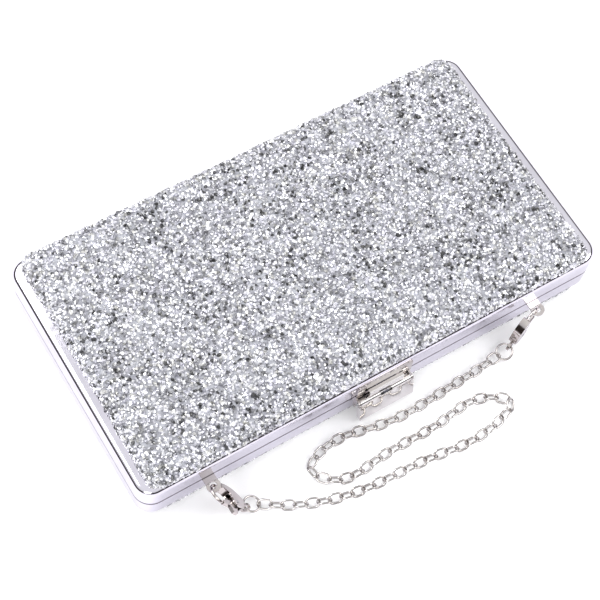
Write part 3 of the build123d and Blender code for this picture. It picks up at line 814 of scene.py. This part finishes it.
# ------------------------------------------------------------------------- floor, light, camera
def floor():
    """Pale matt floor that glows a little, so that its shadows stay soft. Reflections see it darker."""
    made, tree, shader = new_material("pale_floor")
    grain = noise(tree, 40, 6)
    tone = two_tone(tree, grain, "Fac", (0.93, 0.93, 0.94), (0.96, 0.96, 0.965))
    path = node(tree, "LightPath")
    mixed = node(tree, "Mix", {7: (*FLOOR_IN_METAL, 1)}, data_type="RGBA")
    wire(tree, path, "Is Glossy Ray", mixed, 0)
    wire(tree, tone, "Color", mixed, 6)
    wire(tree, mixed, 2, shader, "Base Color")
    shader.inputs["Roughness"].default_value = 0.6
    shader.inputs["Specular IOR Level"].default_value = 0.2
    shader.inputs["Emission Color"].default_value = (1, 1, 1, 1)
    shader.inputs["Emission Strength"].default_value = FLOOR_GLOW
    size, z = 6.0, -0.05 * MM
    corners = [(-size, -size, z), (size, -size, z), (size, size, z), (-size, size, z)]
    add_mesh("floor", corners, [(0, 1, 2, 3)], made, smooth=False)


def ramp_colours(ramp, stops):
    while len(ramp.color_ramp.elements) < len(stops):
        ramp.color_ramp.elements.new(0.5)
    for element, (position, shade) in zip(ramp.color_ramp.elements, stops):
        element.position = position
        element.color = (*shade, 1)


def sky():
    """Pale room for light. Reflections see a dark band low in the room instead."""
    world = bpy.data.worlds.new("studio")
    bpy.context.scene.world = world
    world.use_nodes = True
    tree = world.node_tree
    where = node(tree, "TexCoord")
    split = node(tree, "SeparateXYZ")
    wire(tree, where, "Generated", split, "Vector")
    light = node(tree, "ValToRGB")
    ramp_colours(light, ROOM_LIGHT)
    wire(tree, split, "Z", light, "Fac")
    mirrored = node(tree, "ValToRGB")
    ramp_colours(mirrored, ROOM_IN_METAL)
    wire(tree, split, "Z", mirrored, "Fac")
    path = node(tree, "LightPath")
    mixed = node(tree, "Mix", data_type="RGBA")
    wire(tree, path, "Is Glossy Ray", mixed, 0)
    wire(tree, light, "Color", mixed, 6)
    wire(tree, mirrored, "Color", mixed, 7)
    background = tree.nodes["Background"]
    wire(tree, mixed, 2, background, "Color")
    background.inputs["Strength"].default_value = ROOM_STRENGTH


def softbox(name, place_at, target, size, power):
    data = bpy.data.lights.new(name, "AREA")
    data.shape = "RECTANGLE"
    data.size, data.size_y = size
    data.energy = power
    lamp = bpy.data.objects.new(name, data)
    lamp.location = place_at
    lamp.rotation_euler = (Vector(target) - Vector(place_at)).to_track_quat("-Z", "Y").to_euler()
    bpy.context.scene.collection.objects.link(lamp)


def camera():
    """The photographer's place and aim."""
    data = bpy.data.cameras.new("camera")
    data.lens = CAMERA_LENS
    data.sensor_width = 36
    data.clip_start, data.clip_end = 0.01, 50
    made = bpy.data.objects.new("camera", data)
    back = -CAMERA_FORWARD.normalized()
    right = CAMERA_UP.cross(back).normalized()
    up = back.cross(right)
    made.matrix_world = Matrix.Translation(CAMERA_AT) @ Matrix((right, up, back)).transposed().to_4x4()
    bpy.context.scene.collection.objects.link(made)
    bpy.context.scene.camera = made


def studio():
    floor()
    sky()
    softbox("key_light", (-0.35, 0.55, 0.95), (0, 0, 0), (0.8, 0.6), 9)
    softbox("fill_light", (0.7, -0.5, 0.8), (0, 0, 0), (0.7, 0.7), 5)
    softbox("front_light", (-0.7, -0.7, 0.5), (0, 0, 0.01), (0.5, 0.5), 3)
    camera()
    bpy.context.scene.view_settings.view_transform = "Standard"


# ------------------------------------------------------------------------- build
def build():
    """All pieces, finishes and the studio."""
    glass, cloth, pad = crystal(), backing(), foam()
    silver_satin = satin("silver_satin", (0.6, 0.6, 0.645), (0.46, 0.465, 0.51))
    sewing = thread()
    for side, front, seed in (("front", True, 11), ("rear", False, 23)):
        cover_cloth(side, front, cloth)
        cover_foam(side, front, pad)
        chips(side, front, glass, seed)
        lining_tray(side, front, silver_satin)
        lining_piping(side, front, silver_satin)
    slip_pocket(silver_satin)
    pocket_stitches(sewing)
    for side in ("left", "right"):
        gusset_fan(side, silver_satin)
    paint_hardware()
    studio()


build()
